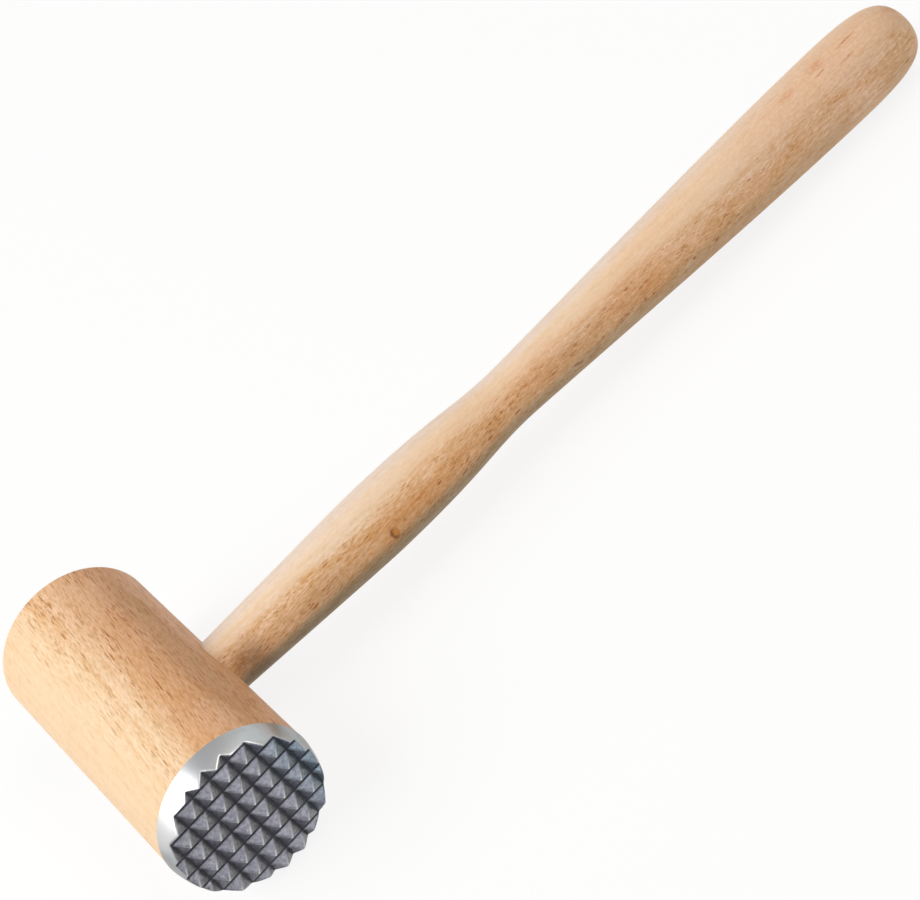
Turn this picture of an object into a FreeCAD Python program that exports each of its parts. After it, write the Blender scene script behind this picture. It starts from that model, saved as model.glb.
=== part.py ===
import FreeCAD, Part
import math
import os

# Wooden meat mallet, lying on a table as it comes to rest. Lengths are in millimetres and angles
# in degrees. While the pieces are made, the head's axis is Y with the toothed end toward -Y, the
# handle's axis is X with the grip toward +X, and the two axes cross at the origin.

# Head block
head_radius = 24.6
block_length = 93.4             # plain face to the line where wood meets metal
handle_from_plain_face = 50.3
plain_edge_radius = 0.6
spigot_edge_chamfer = 0.5

# Toothed cap
cap_height = 8.2                # tooth tips to the line where wood meets metal
cap_proud = 0.15                # the metal stands out this much beyond the wood at that line
inset_at_grooves = 1.0          # the cap's rounded side has come in by this at the groove floors
inset_at_tips = 1.85            # and by this at the tooth tips
tooth_pitch = 6.5
tooth_height = 2.9
tooth_turn = 4.2                # the grid of teeth is turned up this much from the handle
cap_wall = 2.3
cap_roof = 2.5                  # metal under the grooves
tang_radius = 4.0
tang_tip_chamfer = 1.2
ring_radius = 4.6
ring_width = 1.6
ring_pitch = 5.0
wood_between_holes = 11.8       # from the tang's hole to the handle's hole

# Handle, with its places measured from the head's axis
tenon_radius = 9.0
tenon_past_axis = 11.0
tenon_tip_chamfer = 1.0
swell_at = 83.7
swell_radius = 11.1
waist_at = 136.0
waist_radius = 8.7
grip_radius = 12.95
handle_reach = 302.3
grip_to_tip = 27.9              # widest part of the grip to the rounded tip

# How gently the handle's outline leaves one of those places and comes into the next, as a share
# of the stretch between them
neck_to_swell = (0.03, 0.11)
swell_to_waist = (0.64, 0.28)
waist_to_grip = (0.07, 0.32)
end_fullness = (0.84, 0.78)     # of the rounded end, along the handle and across it

# Fits
glue_gap = 0.1                  # between glued round surfaces, on the radius
spigot_gap = 0.2                # between the spigot's end and the bottom of the cap's pocket
hole_spare = 1.0                # left beyond the end of the tenon and of the tang

# Places along the head, measured from the handle's axis
plain_face_y = handle_from_plain_face
joint_y = plain_face_y - block_length
tooth_tip_y = joint_y - cap_height
groove_floor_y = tooth_tip_y + tooth_height
pocket_floor_y = groove_floor_y + cap_roof
handle_hole_radius = tenon_radius + glue_gap
tang_hole_end_y = -handle_hole_radius - wood_between_holes
tang_end_y = tang_hole_end_y - hole_spare

cap_radius = head_radius + cap_proud
pocket_radius = cap_radius - cap_wall
grip_at = handle_reach - grip_to_tip

x_axis = FreeCAD.Vector(1, 0, 0)
y_axis = FreeCAD.Vector(0, 1, 0)
z_axis = FreeCAD.Vector(0, 0, 1)
crossing = FreeCAD.Vector(0, 0, 0)


def point(x, y):
    return FreeCAD.Vector(x, y, 0)


def line(start, end):
    return Part.LineSegment(start, end).toShape()


def polyline(points):
    return [line(start, end) for start, end in zip(points, points[1:])]


def turned(edges, axis):
    """Solid made by turning a closed outline in the XY plane about an axis through the origin."""
    return Part.Face(Part.Wire(edges)).revolve(crossing, axis, 360)


def rod(radius, start, end, axis):
    """Round bar about an axis through the origin, between two places along it."""
    return Part.makeCylinder(radius, end - start, axis * start, axis)


def eased_curve(start, end, eases):
    """Smooth stretch of the handle's outline that is level at both of its ends."""
    span = end.x - start.x
    curve = Part.BezierCurve()
    curve.setPoles([
        start,
        start + x_axis * span * eases[0],
        end - x_axis * span * eases[1],
        end,
    ])
    return curve


def handle_outline():
    """Curves of the handle from the head's surface to the rounded tip."""
    neck = point(head_radius, tenon_radius)
    swell = point(swell_at, swell_radius)
    waist = point(waist_at, waist_radius)
    grip = point(grip_at, grip_radius)
    tip = point(handle_reach, 0)
    end_curve = Part.BezierCurve()
    end_curve.setPoles([
        grip,
        grip + x_axis * (handle_reach - grip_at) * end_fullness[0],
        tip + y_axis * grip_radius * end_fullness[1],
        tip,
    ])
    return [
        eased_curve(neck, swell, neck_to_swell),
        eased_curve(swell, waist, swell_to_waist),
        eased_curve(waist, grip, waist_to_grip),
        end_curve,
    ]


def make_handle():
    """Turned handle with a straight tenon that goes into the head past its axis."""
    tenon_end = -tenon_past_axis
    tenon_outline = polyline([
        point(handle_reach, 0),
        point(tenon_end, 0),
        point(tenon_end, tenon_radius - tenon_tip_chamfer),
        point(tenon_end + tenon_tip_chamfer, tenon_radius),
        point(head_radius, tenon_radius),
    ])
    return turned(tenon_outline + [curve.toShape() for curve in handle_outline()], x_axis)


def make_head_block():
    """Turned block with a plain end, a spigot for the cap and blind holes for handle and tang."""
    spigot_radius = pocket_radius - glue_gap
    spigot_end_y = pocket_floor_y + spigot_gap
    corner = point(head_radius - plain_edge_radius, plain_face_y - plain_edge_radius)
    mid_corner = corner + point(1, 1).normalize() * plain_edge_radius
    edge_start = point(head_radius, corner.y)
    edge_end = point(corner.x, plain_face_y)
    outline = polyline([
        edge_end,
        point(0, plain_face_y),
        point(0, spigot_end_y),
        point(spigot_radius - spigot_edge_chamfer, spigot_end_y),
        point(spigot_radius, spigot_end_y + spigot_edge_chamfer),
        point(spigot_radius, joint_y),
        point(head_radius, joint_y),
        edge_start,
    ])
    outline.append(Part.Arc(edge_start, mid_corner, edge_end).toShape())
    block = turned(outline, y_axis)

    handle_hole = rod(handle_hole_radius, -tenon_past_axis - hole_spare, 2 * head_radius, x_axis)
    tang_hole = rod(ring_radius + glue_gap, tooth_tip_y, tang_hole_end_y, y_axis)
    return block.cut([handle_hole, tang_hole])


def cap_flank():
    """Rounded side of the cap, from the wood to the plane of the tooth tips."""
    start = point(cap_radius, joint_y)
    middle = point(cap_radius - inset_at_grooves, groove_floor_y)
    end = point(cap_radius - inset_at_tips, tooth_tip_y)
    return Part.Arc(start, middle, end).toShape(), start, end


def make_tang():
    """Ringed stem inside the cap that holds in the end of the block."""
    root_y = (groove_floor_y + pocket_floor_y) / 2
    shaft_end_y = tang_end_y - tang_tip_chamfer
    tang = turned(polyline([
        point(0, root_y),
        point(tang_radius, root_y),
        point(tang_radius, shaft_end_y),
        point(tang_radius - tang_tip_chamfer, tang_end_y),
        point(0, tang_end_y),
        point(0, root_y),
    ]), y_axis)
    ring_count = int((shaft_end_y - pocket_floor_y) // ring_pitch)
    for number in range(ring_count):
        thin_end_y = shaft_end_y - number * ring_pitch
        thick_end_y = thin_end_y - ring_width
        ring = turned(polyline([
            point(0, thin_end_y),
            point(tang_radius, thin_end_y),
            point(ring_radius, thick_end_y),
            point(0, thick_end_y),
            point(0, thin_end_y),
        ]), y_axis)
        tang = tang.fuse(ring)
    return tang


def groove(offset):
    """V groove across the end of the cap, beside the head's axis by the offset."""
    over_cut = 2.0
    half_width = tooth_pitch / 2 * (tooth_height + over_cut) / tooth_height
    length = 4 * cap_radius
    start_x = -length / 2
    mouth_y = tooth_tip_y - over_cut
    corners = [
        FreeCAD.Vector(start_x, groove_floor_y, offset),
        FreeCAD.Vector(start_x, mouth_y, offset - half_width),
        FreeCAD.Vector(start_x, mouth_y, offset + half_width),
        FreeCAD.Vector(start_x, groove_floor_y, offset),
    ]
    return Part.Face(Part.Wire(polyline(corners))).extrude(x_axis * length)


def make_toothed_cap():
    """Cast cap whose end is cut by two crossing sets of grooves into rows of pyramids."""
    flank, flank_start, flank_end = cap_flank()
    outline = polyline([
        flank_end,
        point(0, tooth_tip_y),
        point(0, pocket_floor_y),
        point(pocket_radius, pocket_floor_y),
        point(pocket_radius, joint_y),
        flank_start,
    ])
    cap = turned(outline + [flank], y_axis)
    grooves_each_side = math.ceil(cap_radius / tooth_pitch)
    grooves = []
    for number in range(-grooves_each_side, grooves_each_side + 1):
        lengthwise = groove(number * tooth_pitch)
        crosswise = lengthwise.copy()
        crosswise.rotate(crossing, y_axis, 90)
        grooves += [lengthwise, crosswise]
    for cutter in grooves:
        cutter.rotate(crossing, y_axis, -tooth_turn)
    return cap.cut(grooves).fuse(make_tang()).removeSplitter()


def resting_lean():
    """Angle that the handle dips by when the head and the grip both touch the table."""
    points_per_curve = 400
    rounds = 20
    outline = []
    for curve in handle_outline():
        outline += curve.discretize(points_per_curve)
    lean = 0.0
    for attempt in range(rounds):
        touch = max(outline, key=lambda p: p.x * math.sin(lean) + p.y * math.cos(lean))
        lean = math.asin(cap_radius / math.hypot(touch.x, touch.y)) - math.atan2(touch.y, touch.x)
    return math.degrees(lean)


def centre_of_footprint(shapes):
    box = Part.Compound(shapes).optimalBoundingBox(False, False)
    return point((box.XMin + box.XMax) / 2, (box.YMin + box.YMax) / 2)


pieces = {
    "head_block": make_head_block(),
    "handle": make_handle(),
    "toothed_cap": make_toothed_cap(),
}
lean = resting_lean()
for piece in pieces.values():
    piece.rotate(crossing, y_axis, lean)
place = z_axis * cap_radius - centre_of_footprint(list(pieces.values()))

os.makedirs("parts", exist_ok=True)
for name, piece in pieces.items():
    piece.translate(place)
    piece.exportStep(f"parts/{name}.step")
    box = piece.optimalBoundingBox(False, False)
    print(name, piece.isValid(), len(piece.Solids), "solids", round(piece.Volume / 1000, 2), "cm3",
          "x", round(box.XMin, 3), round(box.XMax, 3), "y", round(box.YMin, 3), round(box.YMax, 3),
          "z", round(box.ZMin, 3), round(box.ZMax, 3))
print("lean", round(lean, 4), "head axis at x", round(place.x, 3), "y", round(place.y, 3),
      "z", round(place.z, 3))
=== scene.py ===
import math
from types import SimpleNamespace

import bmesh
import bpy
import numpy as np
from mathutils import Matrix, Vector


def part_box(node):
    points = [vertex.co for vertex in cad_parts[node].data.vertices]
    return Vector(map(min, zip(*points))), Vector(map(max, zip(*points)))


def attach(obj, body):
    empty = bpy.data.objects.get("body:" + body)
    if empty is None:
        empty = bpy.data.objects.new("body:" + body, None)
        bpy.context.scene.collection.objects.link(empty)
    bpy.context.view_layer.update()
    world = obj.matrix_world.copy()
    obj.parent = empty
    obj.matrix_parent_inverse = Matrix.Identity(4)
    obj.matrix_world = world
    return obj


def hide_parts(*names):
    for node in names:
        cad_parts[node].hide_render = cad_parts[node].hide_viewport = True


# Wooden meat mallet lying on a pale floor. Lengths are in metres unless a name ends in _mm, and
# the pieces are made in millimetres in the mallet's own axes: the head's axis is Y with the toothed
# end toward -Y, the handle's axis is X with the grip toward +X, and they cross at the origin.

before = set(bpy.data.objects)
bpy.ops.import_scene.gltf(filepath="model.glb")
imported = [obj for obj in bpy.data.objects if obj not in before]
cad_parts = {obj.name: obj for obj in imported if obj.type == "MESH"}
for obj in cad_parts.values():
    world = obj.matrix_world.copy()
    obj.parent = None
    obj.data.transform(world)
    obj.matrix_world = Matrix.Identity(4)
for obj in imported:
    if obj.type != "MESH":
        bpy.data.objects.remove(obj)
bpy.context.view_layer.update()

MM = 0.001
head_low, head_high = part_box("head_block")
cap_low, cap_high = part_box("toothed_cap")

# Fits
glue_gap_mm = 0.1               # between glued round surfaces, on the radius
spigot_gap_mm = 0.2             # between the spigot's end and the bottom of the cap's pocket
hole_spare_mm = 1.0             # left beyond the end of the cap's stem

# Head and cap, with their places measured from the handle's axis
head_radius_mm = (head_high.z - head_low.z) / 2 / MM
cap_radius_mm = (cap_high.z - cap_low.z) / 2 / MM
plain_face_mm = 50.3
plain_edge_mm = 0.6             # rounding of the plain face's edge
tooth_tip_mm = plain_face_mm - (head_high.y - cap_low.y) / MM
cap_height_mm = 8.2
joint_mm = tooth_tip_mm + cap_height_mm     # where wood meets metal
cap_wall_mm = 2.3
cap_roof_mm = 2.5               # metal under the grooves
pocket_radius_mm = cap_radius_mm - cap_wall_mm
spigot_radius_mm = pocket_radius_mm - glue_gap_mm
spigot_chamfer_mm = 0.5

# Teeth
tooth_pitch_mm = 6.5
tooth_height_mm = 2.9
tooth_half_mm = tooth_pitch_mm / 2
tooth_slope = math.cos(math.atan2(tooth_height_mm, tooth_half_mm))
tooth_turn = math.radians(4.2)  # the grid of teeth is turned up this much from the handle
inset_at_grooves_mm = 1.0       # the cap's rounded side has come in by this at the groove floors
inset_at_tips_mm = 1.85         # and by this at the tooth tips
groove_floor_mm = tooth_tip_mm + tooth_height_mm
pocket_floor_mm = groove_floor_mm + cap_roof_mm
cast_edge_mm = 0.30             # width over which the casting's edges are rounded
cast_floor_mm = 0.06            # and the fillet in the bottom of its grooves

# Handle, with its places measured from the head's axis
tenon_radius_mm = 9.0
tenon_end_mm = -11.0
tenon_chamfer_mm = 1.0
swell_at_mm = 83.7
swell_radius_mm = 11.1
waist_at_mm = 136.0
waist_radius_mm = 8.7
grip_radius_mm = 12.95
handle_reach_mm = 302.3
grip_to_tip_mm = 27.9           # widest part of the grip to the rounded tip
grip_at_mm = handle_reach_mm - grip_to_tip_mm
lean = math.radians(2.4266)     # the handle dips from the head to the table by this

# How gently the handle's outline leaves one of those places and comes into the next, as a share
# of the stretch between them
neck_to_swell = (0.03, 0.11)
swell_to_waist = (0.64, 0.28)
waist_to_grip = (0.07, 0.32)
end_fullness = (0.84, 0.78)     # of the rounded end, along the handle and across it

# Stem cast inside the cap, with rings that bite into the glue
stem_radius_mm = 4.0
stem_chamfer_mm = 1.2
ring_radius_mm = 4.6
ring_width_mm = 1.6
ring_pitch_mm = 5.0
ring_count = 4
wood_between_holes_mm = 11.8    # from the stem's hole to the handle's hole
stem_end_mm = -(tenon_radius_mm + glue_gap_mm + wood_between_holes_mm + hole_spare_mm)

# How finely the meshes are divided
handle_sides = 128
head_sides = 192
pocket_sides = 96
neck_steps = 40
waist_steps = 36
grip_steps = 90
end_steps = 36
head_rings = 46
plain_edge_steps = 5
tenon_rings = 17
tenon_ring_pitch_mm = 2.0
tenon_face_ring_mm = 4.0        # radii of extra rings on the flat faces
spigot_face_ring_mm = 8.0
pocket_floor_ring_mm = 14.0
plain_face_rings_mm = (20.0, 14.0, 7.0)
steps_per_tooth = 28            # of the grid that the toothed skin is made on
smooth_below = 35               # edges that turn by more degrees than this look sharp
smooth_below_on_cap = 50

# From the mallet's own axes in millimetres to the frame
head_middle = (head_low + head_high) / 2
crossing = Vector((head_middle.x, head_high.y - plain_face_mm * MM, head_middle.z))
to_frame = Matrix.Translation(crossing) @ Matrix.Rotation(lean, 4, "Y") @ Matrix.Scale(MM, 4)
ALONG_HANDLE = Vector((1, 0, 0))
ALONG_HEAD = Vector((0, 1, 0))
UP = Vector((0, 0, 1))


def add_to_scene(name, data):
    """New object that shows a mesh, a lamp or a camera."""
    made = bpy.data.objects.new(name, data)
    bpy.context.scene.collection.objects.link(made)
    return made


def shade(mesh, angle):
    """Smooth shading that keeps edges sharp where they turn by more than an angle in degrees."""
    mesh.shade_smooth()
    mesh.set_sharp_from_angle(angle=math.radians(angle))


def mesh_object(name, points, faces):
    """Object from points in millimetres in the mallet's own axes."""
    mesh = bpy.data.meshes.new(name)
    mesh.from_pydata([tuple(point) for point in points], [], faces)
    mesh.transform(to_frame)
    mesh.validate()
    shade(mesh, smooth_below)
    return add_to_scene(name, mesh)


def turned_shape(profile, sides, axis):
    """Points and faces of a turned body about the X or the Y axis. The profile is (along, radius)
    from end to end. The shape is closed at each end where the profile reaches the axis. Its faces
    look outward where the profile goes toward the axis's positive end."""
    points = []
    faces = []
    rings = []
    for along, radius in profile:
        if radius == 0:
            rings.append([len(points)])
            points.append((along, 0.0, 0.0))
            continue
        rings.append(list(range(len(points), len(points) + sides)))
        for side in range(sides):
            angle = 2 * math.pi * side / sides
            points.append((along, radius * math.cos(angle), radius * math.sin(angle)))
    for one, other in zip(rings, rings[1:]):
        for side in range(sides):
            after = (side + 1) % sides
            if len(one) == 1:
                faces.append((one[0], other[after], other[side]))
            elif len(other) == 1:
                faces.append((one[side], one[after], other[0]))
            else:
                faces.append((one[side], one[after], other[after], other[side]))
    if axis == "Y":
        points = [(-y, x, z) for x, y, z in points]
    return points, faces


def bezier(poles, steps):
    """Points along a curve with four poles, without its first one."""
    result = []
    for step in range(1, steps + 1):
        t = step / steps
        weights = ((1 - t) ** 3, 3 * t * (1 - t) ** 2, 3 * t * t * (1 - t), t ** 3)
        result.append(tuple(sum(w * pole[k] for w, pole in zip(weights, poles)) for k in (0, 1)))
    return result


def eased(start, end, eases, steps):
    """Outline from one place and radius to the next, level with the axis at both."""
    span = end[0] - start[0]
    leave = (start[0] + span * eases[0], start[1])
    arrive = (end[0] - span * eases[1], end[1])
    return bezier((start, leave, arrive, end), steps)


def arc(centre, radius, first, last, steps):
    """Points of an arc from one angle to another, in degrees."""
    result = []
    for step in range(steps + 1):
        angle = math.radians(first + (last - first) * step / steps)
        result.append((centre[0] + radius * math.cos(angle), centre[1] + radius * math.sin(angle)))
    return result


def handle_profile():
    """Outline of the handle from the end of its tenon to its tip."""
    neck = (head_radius_mm, tenon_radius_mm)
    swell = (swell_at_mm, swell_radius_mm)
    waist = (waist_at_mm, waist_radius_mm)
    grip = (grip_at_mm, grip_radius_mm)
    tip = (handle_reach_mm, 0.0)
    end_leave = (grip_at_mm + grip_to_tip_mm * end_fullness[0], grip_radius_mm)
    end_arrive = (handle_reach_mm, grip_radius_mm * end_fullness[1])
    tenon_face_mm = tenon_radius_mm - tenon_chamfer_mm
    profile = [(tenon_end_mm, radius) for radius in (0.0, tenon_face_ring_mm, tenon_face_mm)]
    tenon_from = tenon_end_mm + tenon_chamfer_mm
    profile += [(tenon_from + ring * tenon_ring_pitch_mm, tenon_radius_mm) for ring in range(tenon_rings)]
    profile += [neck]
    profile += eased(neck, swell, neck_to_swell, neck_steps)
    profile += eased(swell, waist, swell_to_waist, waist_steps)
    profile += eased(waist, grip, waist_to_grip, grip_steps)
    profile += bezier((grip, end_leave, end_arrive, tip), end_steps)
    return profile


def make_handle():
    """Turned handle with its tenon, in one piece."""
    return mesh_object("turned_handle", *turned_shape(handle_profile(), handle_sides, "X"))


def head_profile():
    """Outline of the head from the end of its spigot to the middle of its plain face."""
    spigot_end = pocket_floor_mm + spigot_gap_mm
    spigot_face = spigot_radius_mm - spigot_chamfer_mm
    profile = [(spigot_end, radius) for radius in (0.0, spigot_face_ring_mm, spigot_face)]
    profile += [(spigot_end + spigot_chamfer_mm, spigot_radius_mm), (joint_mm, spigot_radius_mm)]
    length = plain_face_mm - plain_edge_mm - joint_mm
    profile += [(joint_mm + length * ring / head_rings, head_radius_mm) for ring in range(head_rings)]
    corner = (plain_face_mm - plain_edge_mm, head_radius_mm - plain_edge_mm)
    profile += arc(corner, plain_edge_mm, 90, 0, plain_edge_steps)
    profile += [(plain_face_mm, radius) for radius in (*plain_face_rings_mm, 0.0)]
    return profile


def make_head():
    """Turned head with its spigot. The blind holes for the handle and the cap's stem aren't cut in
    it, so those two run through its wood, where nothing shows."""
    return mesh_object("turned_head", *turned_shape(head_profile(), head_sides, "Y"))


def circle_through(a, b, c):
    """Centre and radius of the circle through three points."""
    (ax, ay), (bx, by), (cx, cy) = a, b, c
    d = 2 * (ax * (by - cy) + bx * (cy - ay) + cx * (ay - by))
    aa, bb, cc = ax * ax + ay * ay, bx * bx + by * by, cx * cx + cy * cy
    x = (aa * (by - cy) + bb * (cy - ay) + cc * (ay - by)) / d
    y = (aa * (cx - bx) + bb * (ax - cx) + cc * (bx - ax)) / d
    return x, y, math.hypot(ax - x, ay - y)


def soft_max(a, b, blend):
    """The larger of two fields, with the edge where they meet rounded over a width."""
    near = np.maximum(blend - np.abs(a - b), 0) / blend
    return np.maximum(a, b) + near * near * blend / 4


def net_points(values):
    """One point in each cell of a grid where its values change sign, in steps from the grid's
    start, and the number of each cell's point."""
    inside = values < 0
    shape = tuple(n - 1 for n in values.shape)
    total = np.zeros(shape + (3,))
    count = np.zeros(shape)

    def part(field, offset):
        return field[tuple(slice(o, o + n) for o, n in zip(offset, shape))]

    for first in np.ndindex(2, 2, 2):
        for axis in range(3):
            if first[axis]:
                continue
            second = tuple(1 if n == axis else value for n, value in enumerate(first))
            a, b = part(values, first), part(values, second)
            crosses = part(inside, first) != part(inside, second)
            share = np.where(crosses, a / np.where(crosses, a - b, 1), 0)
            for n in range(3):
                total[..., n] += np.where(crosses, first[n] + (share if n == axis else 0), 0)
            count += crosses
    used = count > 0
    number = np.full(shape, -1)
    number[used] = np.arange(used.sum())
    return total[used] / count[used][:, None] + np.argwhere(used), number


def net_faces(values, number):
    """Four-sided faces between the cells round each step of the grid where its values change sign."""
    inside = values < 0
    faces = []
    for axis, u, v in ((0, 1, 2), (1, 2, 0), (2, 0, 1)):
        low = [slice(None)] * 3
        low[axis] = slice(0, -1)
        high = [slice(None)] * 3
        high[axis] = slice(1, None)
        leaving = inside[tuple(low)]
        where = np.argwhere(leaving != inside[tuple(high)])
        keep = (where[:, u] > 0) & (where[:, v] > 0)
        keep &= (where[:, u] < values.shape[u] - 1) & (where[:, v] < values.shape[v] - 1)
        where = where[keep]
        around = []
        for du, dv in ((1, 1), (0, 1), (0, 0), (1, 0)):
            cell = where.copy()
            cell[:, u] -= du
            cell[:, v] -= dv
            around.append(number[tuple(cell.T)])
        around = np.stack(around, axis=1)
        out = leaving[tuple(where.T)]
        faces += [around[out], around[~out][:, ::-1]]
    return np.concatenate(faces)


def from_groove(across):
    """Distance from the nearest of the grooves that run one way, for places across them."""
    return np.abs((across + tooth_half_mm) % tooth_pitch_mm - tooth_half_mm)


def tooth_rise(from_apex):
    """Height over the groove floors of the faces of the teeth."""
    return tooth_height_mm * (1 - from_apex / tooth_half_mm)


def above_teeth(along, rise):
    """Distance outside the faces of the teeth, and negative inside them."""
    return (groove_floor_mm - rise - along) * tooth_slope


def beyond_side(x, along, z):
    """Distance outside the cap's rounded side, and negative inside it."""
    middle, offset, radius = circle_through(
        (joint_mm, cap_radius_mm),
        (groove_floor_mm, cap_radius_mm - inset_at_grooves_mm),
        (tooth_tip_mm, cap_radius_mm - inset_at_tips_mm))
    side = offset + np.sqrt(np.maximum(radius ** 2 - (along - middle) ** 2, 0))
    return np.hypot(x, z) - side


def cap_skin():
    """Points and faces of the cap's toothed outside, open at the line where wood meets metal."""
    step = tooth_pitch_mm / steps_per_tooth
    reach = math.ceil((cap_radius_mm + 2 * step) / step)
    across = np.arange(-reach, reach + 1) * step
    layers = math.ceil((cap_height_mm + 2 * step) / step)
    along = joint_mm - np.arange(layers, -1, -1) * step
    x, y, z = np.meshgrid(across, along, across, indexing="ij")
    from_apex = soft_max(tooth_half_mm - from_groove(x), tooth_half_mm - from_groove(z), cast_edge_mm)
    rise = np.sqrt(np.maximum(tooth_rise(from_apex), 0) ** 2 + cast_floor_mm ** 2)
    values = soft_max(above_teeth(y, rise), beyond_side(x, y, z), cast_edge_mm)
    points, number = net_points(values)
    return points * step + np.array([across[0], along[0], across[0]]), net_faces(values, number)


def cap_inside():
    """Outline of the cap's pocket and ringed stem, from where wood meets metal to the stem's end."""
    profile = [(joint_mm, pocket_radius_mm)]
    floor_radii = (pocket_radius_mm, pocket_floor_ring_mm, stem_radius_mm)
    profile += [(pocket_floor_mm, radius) for radius in floor_radii]
    shaft_end = stem_end_mm - stem_chamfer_mm
    for number in range(ring_count - 1, -1, -1):
        thin = shaft_end - number * ring_pitch_mm
        thick = thin - ring_width_mm
        profile += [(thick, stem_radius_mm), (thick, ring_radius_mm), (thin, stem_radius_mm)]
    profile += [(stem_end_mm, stem_radius_mm - stem_chamfer_mm), (stem_end_mm, 0.0)]
    return profile


def joined_cap():
    """Mesh of the toothed skin and the inside of the cap, joined along their open rims."""
    points, faces = cap_skin()
    skin = bpy.data.meshes.new("cap_skin")
    skin.from_pydata(points.tolist(), [], faces.tolist())
    build = bmesh.new()
    build.from_mesh(skin)
    bpy.data.meshes.remove(skin)

    # The skin's last points are drawn out to the line where wood meets metal
    rim = [edge for edge in build.edges if edge.is_boundary]
    made = bmesh.ops.extrude_edge_only(build, edges=rim)["geom"]
    for item in made:
        if isinstance(item, bmesh.types.BMVert):
            stretch = cap_radius_mm / math.hypot(item.co.x, item.co.z)
            item.co = (item.co.x * stretch, joint_mm, item.co.z * stretch)
    outer = [item for item in made if isinstance(item, bmesh.types.BMEdge) and item.is_boundary]

    inner_points, inner_faces = turned_shape(cap_inside(), pocket_sides, "Y")
    vertices = [build.verts.new(point) for point in inner_points]
    for face in inner_faces:
        build.faces.new([vertices[n] for n in face])
    first_ring = set(vertices[:pocket_sides])
    inner = [edge for edge in build.edges if edge.is_boundary and edge.verts[0] in first_ring]
    bmesh.ops.bridge_loops(build, edges=outer + inner)
    bmesh.ops.recalc_face_normals(build, faces=build.faces)
    mesh = bpy.data.meshes.new("cast_cap")
    build.to_mesh(mesh)
    build.free()
    return mesh


def mark_cap(mesh):
    """Values on the cap's points that its material reads: 1 where it is toothed, the share of the
    way from the grooves to the ridges in both directions, and up to 1 on the ridges for wear and a painted
    glint."""
    places = np.zeros(len(mesh.vertices) * 3, np.float32)
    mesh.vertices.foreach_get("co", places)
    x, y, z = places.reshape(-1, 3).astype(float).T
    from_x, from_z = from_groove(x), from_groove(z)
    rise = tooth_rise(tooth_half_mm - np.minimum(from_x, from_z))
    change_mm = 0.2                     # over which the turned rim becomes teeth
    ridge_mm = 0.35
    worn_from = tooth_half_mm - 0.2     # ridges from here across a tooth get the most wear and a painted glint
    worn_most = (x % tooth_pitch_mm > worn_from) & (z % tooth_pitch_mm > worn_from)
    worn_elsewhere = 0.3
    fields = {
        "toothed": (above_teeth(y, rise) - beyond_side(x, y, z)) / change_mm + 0.5,
        "upright_groove": from_x / tooth_half_mm,
        "level_groove": from_z / tooth_half_mm,
        "ridge": (1 - np.abs(from_x - from_z) / ridge_mm) * np.where(worn_most, 1.0, worn_elsewhere)}
    for label, field in fields.items():
        layer = mesh.attributes.new(label, "FLOAT", "POINT")
        layer.data.foreach_set("value", np.clip(field, 0, 1).astype(np.float32))


def make_cap():
    """Cast cap with its teeth, pocket and ringed stem."""
    mesh = joined_cap()
    mark_cap(mesh)
    mesh.transform(to_frame @ Matrix.Rotation(-tooth_turn, 4, "Y"))
    shade(mesh, smooth_below_on_cap)
    return add_to_scene("cast_cap", mesh)


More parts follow.
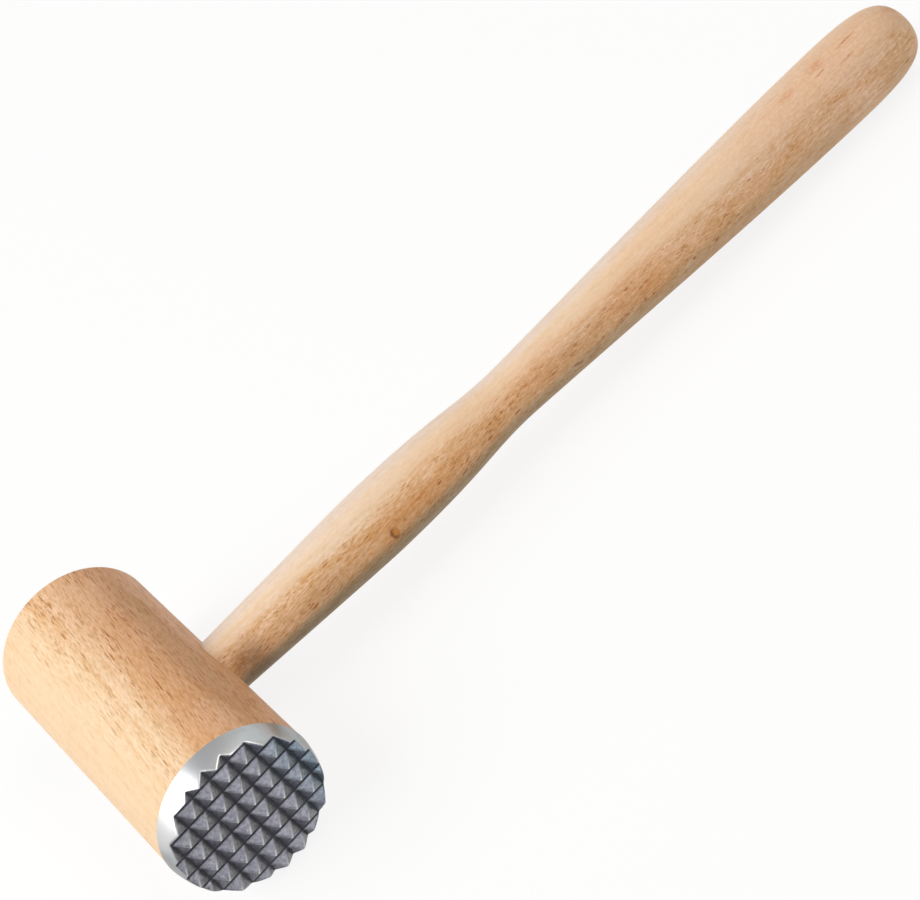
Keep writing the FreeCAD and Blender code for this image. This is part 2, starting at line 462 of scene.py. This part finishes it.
class Surface:
    """Nodes of a material or of the world, added one at a time."""

    def __init__(self, owner):
        owner.use_nodes = True
        self.tree = owner.node_tree
        self.tree.nodes.clear()

    def add(self, kind, inputs=None, **settings):
        """Outputs of a new node."""
        made = self.tree.nodes.new(kind)
        for key, value in settings.items():
            setattr(made, key, value)
        for key, value in (inputs or {}).items():
            if isinstance(value, bpy.types.NodeSocket):
                self.tree.links.new(value, made.inputs[key])
            else:
                made.inputs[key].default_value = value
        return made.outputs

    def maths(self, operation, *values):
        return self.add("ShaderNodeMath", dict(enumerate(values)), operation=operation)[0]

    def times(self, *values):
        """Product of two or more numbers."""
        result = values[0]
        for value in values[1:]:
            result = self.maths("MULTIPLY", result, value)
        return result

    def minus(self, value, other):
        return self.maths("SUBTRACT", value, other)

    def about_zero(self, value, depth):
        """Pattern that goes from 0 to 1, moved to lie about 0 and made as strong as its depth."""
        return self.times(self.minus(value, 0.5), depth)

    def vector(self, operation, *values):
        return self.add("ShaderNodeVectorMath", dict(enumerate(values)), operation=operation)[0]

    def dot(self, vector, way):
        inputs = {0: vector, 1: way}
        return self.add("ShaderNodeVectorMath", inputs, operation="DOT_PRODUCT")["Value"]

    def length(self, vector):
        return self.add("ShaderNodeVectorMath", {0: vector}, operation="LENGTH")["Value"]

    def spread(self, value, low, high, to_low=0.0, to_high=1.0):
        """Value from one range to another, smoothly eased and kept inside it."""
        inputs = {"Value": value, "From Min": low, "From Max": high, "To Min": to_low, "To Max": to_high}
        return self.add("ShaderNodeMapRange", inputs, interpolation_type="SMOOTHSTEP")["Result"]

    def share(self, value, at_0, at_1):
        """Value that is one number where a share is 0 and another where it is 1."""
        return self.add("ShaderNodeMapRange", {"Value": value, "To Min": at_0, "To Max": at_1})["Result"]

    def spread_along(self, vector, way, low, high, to_low=0.0, to_high=1.0):
        """How far a vector reaches along a direction, from one range to another."""
        return self.spread(self.dot(vector, way), low, high, to_low, to_high)

    def blend(self, factor, a, b, blend_type="MIX"):
        """Mix of two colours. The node's sockets 6 and 7 and its output 2 are the ones for colours."""
        inputs = {0: factor, 6: a, 7: b}
        return self.add("ShaderNodeMix", inputs, data_type="RGBA", blend_type=blend_type)[2]

    def tinted(self, colour, factor, tint):
        return self.blend(factor, colour, tint, "MULTIPLY")

    def noise(self, place, detail=2.0, roughness=0.5, output="Fac"):
        inputs = {"Vector": place, "Scale": 1.0, "Detail": detail, "Roughness": roughness}
        return self.add("ShaderNodeTexNoise", inputs)[output]

    def wander(self, place, reach):
        """Vector that changes slowly with the place and lies about zero."""
        drawn = self.noise(place, output="Color")
        return self.vector("MULTIPLY", self.vector("SUBTRACT", drawn, (0.5, 0.5, 0.5)), reach)

    def attribute(self, label):
        return self.add("ShaderNodeAttribute", attribute_name=label)["Fac"]

    def stretched(self, place, sizes, shift=(0.0, 0.0, 0.0)):
        """Place in units of a pattern's own size along each of three directions."""
        return self.vector("ADD", self.vector("DIVIDE", place, sizes), shift)

    def finish(self, shader, kind="ShaderNodeOutputMaterial"):
        self.add(kind, {"Surface": shader[0]})


def flecks(surface, place, sizes, keep, shift):
    """Lens-shaped marks one cell apart, from 0 to 1, with a share of them left out."""
    cells = {"Vector": surface.stretched(place, sizes, shift), "Scale": 1.0, "Randomness": 1.0}
    found = surface.add("ShaderNodeTexVoronoi", cells, feature="F1")
    draws = surface.add("ShaderNodeSeparateColor", {0: found["Color"]})
    size = surface.maths("MULTIPLY_ADD", draws[1], 0.7, 0.6)
    lens = surface.spread(surface.maths("DIVIDE", found["Distance"], size), 0.28, 0.46, 1.0, 0.0)
    strength = surface.spread(draws[0], 1 - keep, 1.0 - keep / 3)
    return surface.times(lens, strength)


def out_of_head(angle):
    """Direction out of the head's side. The angle goes from the top toward -X, in degrees."""
    angle = math.radians(angle)
    return Vector((-math.sin(angle), 0, math.cos(angle)))


def out_of_handle(angle):
    """Direction out of the handle. The angle goes from the top toward -Y, in degrees."""
    angle = math.radians(angle)
    return Vector((0, -math.sin(angle), math.cos(angle)))


def mark_ways(fibre, out, turn):
    """Directions across a mark, out of the wood and along the mark, which is turned off the grain
    by an angle in degrees."""
    across = fibre.cross(out)
    along = fibre * math.cos(math.radians(turn)) + across * math.sin(math.radians(turn))
    return along.cross(out), out, along


def turn_to(ways):
    """Rotation of the axes X, Y and Z into three directions."""
    return Matrix(ways).transposed().to_euler()


def spot(surface, place, centre, ways, sizes, solid):
    """1 in the middle of an ellipse, over a share of its size, and 0 outside it."""
    inputs = {"Vector": place, "Location": centre, "Rotation": turn_to(ways),
              "Scale": tuple(size / 2 for size in sizes)}
    inside = surface.add("ShaderNodeMapping", inputs, vector_type="TEXTURE")[0]
    return surface.spread(surface.length(inside), solid, 1.0, 1.0, 0.0)


def wood_places(wood, look):
    """Place in the mallet's axes, the same along the wood's own directions, and with the waver of
    its fibres added."""
    inputs = {"Vector": wood.add("ShaderNodeTexCoord")["Object"], "Location": crossing,
              "Rotation": (0.0, lean, 0.0), "Scale": (MM, MM, MM)}
    place = wood.add("ShaderNodeMapping", inputs, vector_type="TEXTURE")[0]
    turn = turn_to((look.radial.cross(look.fibre), look.radial, look.fibre))
    local = wood.add("ShaderNodeMapping", {"Vector": place, "Rotation": turn}, vector_type="TEXTURE")[0]
    waver = wood.wander(wood.stretched(local, (14.0, 14.0, 50.0)), (3.5, 3.5, 0.0))
    return place, local, wood.vector("ADD", local, waver)


def late_wood(wood, grain):
    """1 in the dark outer part of each growth ring, about a pith well outside the piece."""
    pith = (9.0, 64.0, 0.0)
    ring_width = 3.1
    from_pith = wood.vector("MULTIPLY", wood.vector("ADD", grain, pith), (1.0, 1.0, 0.0))
    ring = wood.maths("FRACT", wood.maths("DIVIDE", wood.length(from_pith), ring_width))
    return wood.times(wood.spread(ring, 0.45, 0.95), wood.spread(ring, 0.95, 1.0, 1.0, 0.0))


def rays_end_on(wood, look, place, outward):
    """1 where the surface faces the bark, so that rays show end on, and less where it is cut along
    them."""
    facing = wood.dot(outward, to_frame.to_3x3().normalized() @ look.radial)
    away = wood.spread_along(place, look.fibre, 60.0, 160.0, 0.0, look.drift)
    bare, full, least = look.flecked
    return wood.spread(wood.minus(wood.maths("ABSOLUTE", facing), away), bare, full, least, 1.0)


def ray_crowd(wood, look, place, local):
    """How many flecks there are: they come in patches, and thin out toward the grip's end."""
    patches = wood.noise(wood.stretched(local, look.clusters))
    crowd = wood.spread(patches, 0.40, 0.60, look.sparse, 1.0)
    return wood.times(crowd, wood.spread_along(place, ALONG_HANDLE, 190.0, 270.0, 1.0, 0.40))


def ray_flecks(wood, look, grain):
    """The strongest of a few layers of flecks of different sizes."""
    mark = None
    for sizes, keep, depth, shift in look.rays:
        layer = wood.times(flecks(wood, grain, sizes, keep, shift), depth)
        mark = layer if mark is None else wood.maths("MAXIMUM", mark, layer)
    return mark


def fine_figure(wood, look, grain, late, end_on):
    """Fine uneven tone along the fibres, fainter where the rays don't show end on."""
    figure = wood.times(late, -0.08)
    for sizes, depth in look.figures:
        layer = wood.about_zero(wood.noise(wood.stretched(grain, sizes)), depth)
        figure = wood.maths("ADD", figure, layer)
    return wood.times(figure, wood.spread(end_on, look.flecked[2], 1.0, 0.30, 1.0))


def wood_tone(wood, look, place, local, streaks, late, flecked):
    """Tone of the bare wood, about 0 where it is dark and 1 where it is pale. It starts from painted light
    and shade, a gradient from the shaded side to the lit side.
    """
    # Painted light and shade: paler toward the lit side, darker toward the shaded side
    tone = wood.spread_along(place, look.pale_way, look.dark_at, look.pale_at)
    clouds = wood.noise(wood.stretched(local, (11.0, 11.0, 28.0)))
    for pattern, depth in ((clouds, 0.55), (streaks, 0.60)):
        tone = wood.maths("ADD", tone, wood.about_zero(pattern, depth))
    tone = wood.minus(tone, wood.times(late, 0.10))
    grip_tone = 0.75
    evened = wood.spread_along(place, ALONG_HANDLE, 200.0, 285.0, 0.0, 0.5)
    tone = wood.maths("ADD", tone, wood.times(evened, wood.minus(grip_tone, tone)))
    return wood.minus(tone, wood.times(flecked, look.crowded))


def with_knot(wood, colour, place, knot):
    """Small knot with a dark rim round a reddish heart."""
    wobble = wood.wander(wood.stretched(place, (0.9, 0.9, 0.9)), (1.3, 1.3, 1.3))
    bent = wood.vector("ADD", place, wobble)
    rim_sizes = [size * 1.25 for size in knot.sizes]
    heart_at = knot.centre + knot.ways[2] * 0.5
    colour = wood.blend(spot(wood, bent, knot.centre, knot.ways, rim_sizes, 0.5), colour, knot.rim)
    return wood.blend(spot(wood, bent, heart_at, knot.ways, knot.sizes, 0.4), colour, knot.heart)


def make_wood(look):
    """Bare sanded beech, with fibres, rings, rays and colour that run through the whole piece, and with
    painted light and shade laid into its colour.
    """
    material = bpy.data.materials.new(look.name)
    wood = Surface(material)
    outward = wood.add("ShaderNodeTexCoord")["Normal"]
    place, local, grain = wood_places(wood, look)
    late = late_wood(wood, grain)
    streaks = wood.noise(wood.stretched(grain, (1.2, 3.0, 32.0)), 4.0, 0.6)
    pores = wood.noise(wood.stretched(grain, (0.15, 0.15, 1.1)), 3.0, 0.6)
    end_on = rays_end_on(wood, look, place, outward)
    flecked = wood.times(end_on, ray_crowd(wood, look, place, local))

    tone = wood_tone(wood, look, place, local, streaks, late, flecked)
    fainter = wood.spread(tone, 0.55, 1.1, 1.0, 0.55)
    colour = wood.blend(wood.spread(tone, -0.2, 1.2), look.dark, look.light)
    figure = wood.times(fine_figure(wood, look, grain, late, end_on), fainter)
    figure_colour = wood.vector("MULTIPLY_ADD", figure, (0.75, 1.35, 2.4), (1.0, 1.0, 1.0))
    colour = wood.vector("MULTIPLY", colour, figure_colour)

    ragged = wood.spread(wood.noise(wood.stretched(grain, (0.4, 1.0, 1.2))), 0.36, 0.56, 0.6, 1.0)
    mark = wood.times(ray_flecks(wood, look, grain), flecked, fainter)
    for centre, ways, sizes in look.marks:
        mark = wood.maths("MAXIMUM", mark, wood.times(ragged, spot(wood, place, centre, ways, sizes, 0.3)))
    # Stain patches, and places of painted shade, painted shadow and painted light
    for centre, ways, sizes, tint in look.stains:
        stained = wood.times(ragged, spot(wood, place, centre, ways, sizes, 0.2))
        colour = wood.tinted(colour, stained, tint)
    colour = wood.tinted(colour, mark, look.fleck)
    if look.knot:
        colour = with_knot(wood, colour, place, look.knot)
    # Painted shade on the sides that face down, and a paler painted reflection on the top
    for way, facing, stretch, left, tint in look.shades:
        shaded = wood.spread_along(outward, way, *facing)
        shaded = wood.times(shaded, wood.spread_along(place, ALONG_HANDLE, *stretch, 1.0, left))
        colour = wood.tinted(colour, shaded, tint)

    rough = wood.spread(streaks, 0.3, 0.7, 0.50, 0.62)
    height = wood.minus(wood.times(pores, 0.6), mark)
    bump = wood.add("ShaderNodeBump", {"Strength": 0.4, "Distance": 0.06 * MM, "Height": height})
    wood.finish(wood.add("ShaderNodeBsdfPrincipled", {
        "Base Color": colour, "Roughness": rough, "IOR": 1.45, "Normal": bump[0]}))
    return material


mark_depth_mm = 4.0             # size of a mark across the surface, into the wood


def head_marks():
    """Dark flecks that stand out on the head, as degrees from the top, place along it and length."""
    found = ((-28, 43.5, 8.5), (-22, 18.5, 5.0), (-13.5, 2, 6.4), (-16, -10, 6.0), (-4.5, 1, 3.5),
             (-30, -13, 4.3), (-29, -20, 4.6), (-15.5, -19, 7.3), (-28, -26, 3.2))
    width = 0.42
    marks = []
    for angle, along, length in found:
        out = out_of_head(angle)
        centre = out * head_radius_mm + ALONG_HEAD * along
        marks.append((centre, mark_ways(ALONG_HEAD, out, turn=4), (width, mark_depth_mm, length)))
    return marks


def head_stains():
    """Painted shade: a darker stripe along the head's side that looks toward the handle, as a place,
    directions, sizes and a tint.
    """
    out = out_of_head(-46)
    ways = mark_ways(ALONG_HEAD, out, turn=0)
    return [(out * head_radius_mm, ways, (17, 12, 150), (0.80, 0.77, 0.68, 1))]


def on_handle(angle, along, turn):
    """Point on the handle and directions there, at an angle in degrees from the top toward -Y."""
    along_profile, radius_profile = zip(*handle_profile())
    out = out_of_handle(angle)
    centre = out * float(np.interp(along, along_profile, radius_profile)) + ALONG_HANDLE * along
    return centre, mark_ways(ALONG_HANDLE, out, turn)


def handle_marks():
    """Dark flecks that stand out on the handle, as angle, place along it, width and length."""
    found = ((81, 53.6, 1.1, 3.2), (71, 103, 1.0, 1.9), (61, 134, 0.6, 3.4), (83, 134, 0.9, 1.6),
             (80, 123, 1.0, 1.8), (76, 114, 0.9, 1.9), (95, 212, 1.1, 1.4), (93, 203, 1.1, 1.2),
             (98, 292, 1.2, 1.8), (88, 184, 0.8, 1.6), (91, 187, 0.8, 1.4))
    return [(*on_handle(angle, along, turn=-8), (width, mark_depth_mm, length))
            for angle, along, width, length in found]


def handle_stains():
    """Warmer, darker and paler places in the handle's wood, with places of painted shade, painted shadow
    and painted light among them, as angle, place along it, width and length, listed under the tint that
    each group has."""
    found = {
        (0.99, 0.88, 0.75, 1): ((55, 100, 22, 130), (82, 190, 16, 110)),
        # Painted shade on the lower front
        (0.90, 0.88, 0.86, 1): ((68, 160, 13, 90), (70, 60, 12, 50)),
        (0.90, 0.78, 0.72, 1): ((26, 266, 36, 170),),
        (1.00, 0.88, 0.70, 1): ((88, 82, 9, 24),),
        (0.92, 0.80, 0.66, 1): ((59, 28, 7, 9),),
        (0.96, 0.80, 0.55, 1): ((34, 58, 1.6, 12), (65, 70, 1.4, 9), (78, 75, 1.8, 8), (65, 95, 1.8, 14)),
        (0.92, 0.78, 0.70, 1): ((9, 299, 6, 7), (7, 269, 5, 10), (10, 256, 4, 9)),
        # Painted shadow of the head, by the handle's root
        (0.53, 0.51, 0.50, 1): ((80, 30, 18, 34),),
        (0.97, 0.87, 0.78, 1): ((34, 190, 20, 120), (38, 148, 14, 60)),
        (0.91, 0.83, 0.75, 1): ((64, 180, 14, 130), (66, 145, 12, 54)),
        # Painted light from the floor under the tip
        (1.13, 1.14, 1.24, 1): ((100, 275, 26, 90),),
        (0.80, 0.56, 0.46, 1): ((9, 281, 1.1, 11), (30, 277, 1.0, 8), (20, 268, 0.9, 7))}
    stains = []
    for tint, places in found.items():
        for angle, along, width, length in places:
            depth = 4 + 0.6 * width
            stains.append((*on_handle(angle, along, turn=-4), (width, depth, length), tint))
    return stains


def handle_look():
    """Beech of the handle, with flecks toward its lower side, a knot, warm stain patches, and painted
    light and shade: a paler top, a darker underside, the head's painted shadow and painted light under the
    tip.
    """
    knot_at = 84
    out = out_of_handle(80)
    return SimpleNamespace(
        name="beech_handle",
        # Ways that the fibres run and that the growth rings widen
        fibre=Vector((1, -0.04, 0.06)).normalized(),
        radial=Vector((0.03, -0.985, 0.174)).normalized(),
        # Colours of the palest and the darkest wood, which are also the lit and shaded ends of the painted
        # gradient, and the tint of a fleck
        light=(0.79, 0.61, 0.44, 1), dark=(0.76, 0.45, 0.23, 1), fleck=(0.52, 0.25, 0.03, 1),
        # Way along which the wood turns from dark to pale, and the places where it is each: painted light
        # and shade, paler toward the lit top and back
        pale_way=(0.014, 0.34, 0.94), dark_at=0.0, pale_at=11.0,
        # Of each layer of flecks: its sizes, the share that is kept, its depth and its shift
        rays=(((0.40, 5.0, 1.7), 0.55, 0.72, (0.0, 0.0, 0.0)),
              ((0.50, 6.0, 2.6), 0.32, 0.90, (7.3, 2.1, 4.7)),
              ((0.75, 6.0, 2.4), 0.05, 0.90, (3.9, 8.4, 1.2))),
        # How far the surface faces the bark where rays begin to show end on and where they all do, and
        # the least of them elsewhere, and how much that band narrows toward the grip
        flecked=(0.35, 0.92, 0.10), drift=0.16,
        # Sizes of the patches that flecks come in, how many are left between them, and how much the
        # wood is darker under them
        clusters=(2.4, 2.4, 20.0), sparse=0.15, crowded=0.20,
        # Sizes and depth of each layer of fine figure
        figures=(((0.34, 1.5, 1.6), 0.75), ((0.7, 3.0, 5.0), 0.50), ((3.0, 5.0, 9.0), 0.30)),
        # Of each side with a painted tint: the way it faces, how far a surface has to face that way for
        # none and for all of it, the stretch along the handle over which it fades, what is left then, its
        # tint. The first is painted shade on the lower front, the second a paler, cooler painted
        # reflection on the top, both fading toward the grip
        shades=((Vector((0, -0.80, -0.60)), (0.67, 0.95), (30.0, 350.0), 0.0, (0.42, 0.53, 0.60, 1)),
                (Vector((0, 0.50, 0.87)), (0.78, 1.0), (170.0, 290.0), 0.1, (0.95, 1.02, 1.20, 1))),
        marks=handle_marks(), stains=handle_stains(),
        knot=SimpleNamespace(
            centre=out * swell_radius_mm + ALONG_HANDLE * knot_at,
            ways=mark_ways(ALONG_HANDLE, out, turn=0),
            sizes=(3.9, 4.0, 2.8), heart=(0.66, 0.27, 0.05, 1), rim=(0.26, 0.08, 0.02, 1)))


def head_look():
    """Beech of the head, with painted light and shade: paler toward its lit far side from the handle,
    darker toward the shaded side by it.
    """
    return SimpleNamespace(
        name="beech_head",
        fibre=Vector((0.07, 1, 0)).normalized(),
        radial=Vector((0.5, -0.035, 0.866)).normalized(),
        light=(0.775, 0.565, 0.35, 1), dark=(0.73, 0.42, 0.235, 1), fleck=(0.46, 0.24, 0.01, 1),
        # Painted light and shade: paler toward the lit side away from the handle, darker toward the shaded
        # side by it
        pale_way=(-1.0, 0.0, 0.0), dark_at=-15.0, pale_at=10.0,
        rays=(((0.42, 8.0, 5.6), 0.26, 1.00, (0.0, 0.0, 0.0)),
              ((0.37, 6.5, 4.0), 0.50, 0.80, (7.3, 2.1, 4.7)),
              ((0.34, 5.0, 3.0), 0.70, 0.50, (3.9, 8.4, 1.2))),
        flecked=(0.15, 0.90, 0.30), drift=0.0,
        clusters=(5.0, 5.0, 26.0), sparse=0.40, crowded=0.12,
        figures=(((0.34, 1.5, 2.4), 0.65), ((0.8, 3.0, 9.0), 0.28), ((4.0, 5.0, 14.0), 0.25)),
        # Painted shade on the lower front side
        shades=((Vector((0, -0.80, -0.60)), (0.72, 1.0), (30.0, 350.0), 0.0, (0.95, 0.97, 0.98, 1)),),
        marks=head_marks(), stains=head_stains(), knot=None)


def cast_colour(metal, local, outward, clouds, worn, lift):
    """Dull grey of the teeth, with painted light and shade by the way that each face looks, near black
    in the grooves, with specks, with bright ridges of wear and a painted glint, and a painted cool
    reflection."""
    # Painted light and shade: paler on faces that look up, paler still on faces that look toward the
    # handle, near black on faces that look down
    rubbed, grimy, upward = (
        metal.spread_along(outward, way, 0.2, 0.6) for way in (ALONG_HANDLE, -UP, UP))
    colour = metal.blend(upward, (0.155, 0.155, 0.187, 1), (0.185, 0.185, 0.215, 1))
    colour = metal.blend(rubbed, colour, (0.28, 0.28, 0.29, 1))
    grime = metal.times(grimy, metal.spread(lift, 0.0, 0.9, 0.8, 1.0))
    colour = metal.blend(grime, colour, (0.03, 0.03, 0.04, 1))
    # Near black in the grooves: dirt, and painted shade that deepens their own shadow
    clear = metal.times(metal.spread(metal.attribute("upright_groove"), -0.03, 0.21),
                        metal.spread(metal.attribute("level_groove"), -0.03, 0.17))
    colour = metal.blend(clear, (0.01, 0.01, 0.012, 1), colour)
    specks = metal.minus(metal.noise(metal.stretched(local, (0.9, 0.9, 0.9)), 4.0, 0.7), 0.5)
    specks = metal.vector("MULTIPLY_ADD", specks, (2.4, 2.4, 2.2), (1.0, 1.0, 1.0))
    # Bright ridges: wear, and a painted glint
    colour = metal.blend(worn, metal.vector("MULTIPLY", colour, specks), (0.85, 0.86, 0.88, 1))
    colour = metal.blend(metal.spread(clouds, 0.35, 0.7, 0.0, 0.25), colour, (0.10, 0.10, 0.12, 1))
    # Painted cool reflection on the teeth toward the handle's side
    middle = crossing.x / MM
    far_side = metal.spread_along(local, ALONG_HANDLE, middle + 8, middle + 24)
    return metal.tinted(colour, far_side, (0.75, 0.93, 0.97, 1))


def rim_colour(metal, outward, clouds, grains):
    """Bright grey of the turned rim, with painted shade on top and a painted highlight toward the far side
    from the handle.
    """
    pale = metal.spread(grains, 0.4, 0.75, 0.0, 0.3)
    colour = metal.blend(pale, (0.47, 0.49, 0.50, 1), (0.40, 0.41, 0.41, 1))
    colour = metal.blend(metal.spread(clouds, 0.4, 0.65, 0.0, 0.45), colour, (0.36, 0.36, 0.34, 1))
    # Painted shade near the top and a painted highlight toward the far side from the handle
    for angle, wide, grey in ((-8, 0.88, (0.32, 0.325, 0.33, 1)), (52, 0.92, (0.66, 0.66, 0.66, 1))):
        patch = metal.spread_along(outward, out_of_head(angle), wide, 0.985)
        colour = metal.blend(patch, colour, grey)
    return colour


def make_metal():
    """Cast aluminium: turned bright round the rim, as cast and darker on the teeth."""
    material = bpy.data.materials.new("cast_aluminium")
    metal = Surface(material)
    coordinates = metal.add("ShaderNodeTexCoord")
    local = metal.vector("DIVIDE", coordinates["Object"], (MM, MM, MM))
    outward = coordinates["Normal"]
    grains = metal.noise(metal.stretched(local, (0.35, 0.35, 0.35)), 3.0, 0.6)
    clouds = metal.noise(metal.stretched(local, (5.0, 5.0, 5.0)))
    lift = metal.maths("MINIMUM", metal.attribute("upright_groove"), metal.attribute("level_groove"))
    # Wear and a painted glint along the ridges
    worn = metal.times(metal.attribute("ridge"), metal.spread(lift, 0.2, 0.9, 0.0, 0.9))
    toothed = metal.attribute("toothed")
    turned = rim_colour(metal, outward, clouds, grains)
    colour = metal.blend(toothed, turned, cast_colour(metal, local, outward, clouds, worn, lift))
    solid = metal.maths("MAXIMUM", worn, metal.share(toothed, 1.0, 0.75))
    bump = metal.add("ShaderNodeBump", {"Strength": 0.5, "Distance": 0.05 * MM, "Height": grains})
    metal.finish(metal.add("ShaderNodeBsdfPrincipled", {
        "Base Color": colour, "Metallic": solid, "Roughness": metal.share(toothed, 0.32, 0.29),
        "Specular IOR Level": 0.3, "Specular Tint": (0.68, 0.68, 0.68, 1), "Normal": bump[0]}))
    return material


def seen_directly(surface):
    """1 for what the camera sees, straight or in metal or through glass, and else 0."""
    path = surface.add("ShaderNodeLightPath")
    seen = surface.maths("MAXIMUM", path["Is Camera Ray"], path["Is Glossy Ray"])
    return surface.maths("MAXIMUM", seen, path["Is Transmission Ray"])


def make_floor():
    """Pale floor that shows white, with the mallet's shadow left on it."""
    size = 3.0
    drop = 0.0002                       # below the table, so that it doesn't touch the mallet
    white_share = 0.86                  # the rest of what the camera sees is lit and shaded
    material = bpy.data.materials.new("pale_floor")
    surface = Surface(material)
    plain = surface.add("ShaderNodeBsdfDiffuse", {"Color": (0.86, 0.86, 0.86, 1)})
    white = surface.add("ShaderNodeEmission", {"Color": (1, 1, 1, 1), "Strength": 1.0})
    shown_white = surface.times(seen_directly(surface), white_share)
    surface.finish(surface.add("ShaderNodeMixShader", {0: shown_white, 1: plain[0], 2: white[0]}))
    mesh = bpy.data.meshes.new("floor")
    corners = [(size * x, size * y, -drop) for x, y in ((-1, -1), (1, -1), (1, 1), (-1, 1))]
    mesh.from_pydata(corners, [], [(0, 1, 2, 3)])
    mesh.materials.append(material)
    floor = add_to_scene("floor", mesh)


def make_world():
    """Dim white room that shows as plain white behind the floor."""
    world = bpy.data.worlds.new("studio")
    bpy.context.scene.world = world
    surface = Surface(world)
    room = surface.add("ShaderNodeBackground", {"Color": (1, 1, 1, 1), "Strength": 0.12})
    white = surface.add("ShaderNodeBackground", {"Color": (1, 1, 1, 1), "Strength": 1.0})
    inputs = {0: seen_directly(surface), 1: room[0], 2: white[0]}
    surface.finish(surface.add("ShaderNodeMixShader", inputs), "ShaderNodeOutputWorld")


def add_lamp(name, heading, climb, size, power, colour=(1, 1, 1)):
    """Round soft lamp aimed at the middle of the mallet. The heading goes from +Y toward +X."""
    distance = 1.7
    heading = math.radians(heading)
    climb = math.radians(climb)
    flat = math.cos(climb)
    towards = Vector((flat * math.sin(heading), flat * math.cos(heading), math.sin(climb)))
    lamp = bpy.data.lights.new(name, "AREA")
    lamp.shape = "DISK"
    lamp.size = size
    lamp.energy = power
    lamp.color = colour
    holder = add_to_scene(name, lamp)
    holder.location = towards * distance
    holder.rotation_euler = towards.to_track_quat("Z", "Y").to_euler()


def make_camera():
    """Camera at the photograph's place: above the toothed end, rolled so that the handle climbs."""
    place = Matrix.Translation((-0.128464, -0.545551, 0.539885))
    heading = math.radians(10.916)      # from +Y toward +X
    dip = math.radians(43.210)
    roll = math.radians(-37.758)
    flat = math.cos(dip)
    ahead = Vector((flat * math.sin(heading), flat * math.cos(heading), -math.sin(dip)))
    level = Vector((math.cos(heading), -math.sin(heading), 0))
    above = level.cross(ahead)
    right = level * math.cos(roll) + above * math.sin(roll)
    up = above * math.cos(roll) - level * math.sin(roll)
    data = bpy.data.cameras.new("camera")
    data.sensor_fit = "HORIZONTAL"
    data.sensor_width = 36.0
    data.lens = 103.64
    data.clip_end = 20.0
    camera = add_to_scene("camera", data)
    camera.matrix_world = place @ Matrix((right, up, -ahead)).transposed().to_4x4()
    bpy.context.scene.camera = camera


make_camera()
make_floor()
make_world()
add_lamp("key_lamp", heading=285, climb=44, size=1.5, power=27)
add_lamp("back_lamp", heading=335, climb=42, size=0.9, power=2)
add_lamp("fill_lamp", heading=115, climb=60, size=1.0, power=11, colour=(1.0, 0.90, 0.80))
add_lamp("front_lamp", heading=180, climb=37, size=0.4, power=2.2)

handle = make_handle()
head = make_head()
cap = make_cap()
handle.data.materials.append(make_wood(handle_look()))
head.data.materials.append(make_wood(head_look()))
cap.data.materials.append(make_metal())

for piece, node, slot in ((handle, "handle", "beech_handle"), (head, "head_block", "beech_head"),
                          (cap, "toothed_cap", "cast_aluminium")):
    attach(piece, "root")
    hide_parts(node)

bpy.context.scene.view_settings.view_transform = "Standard"
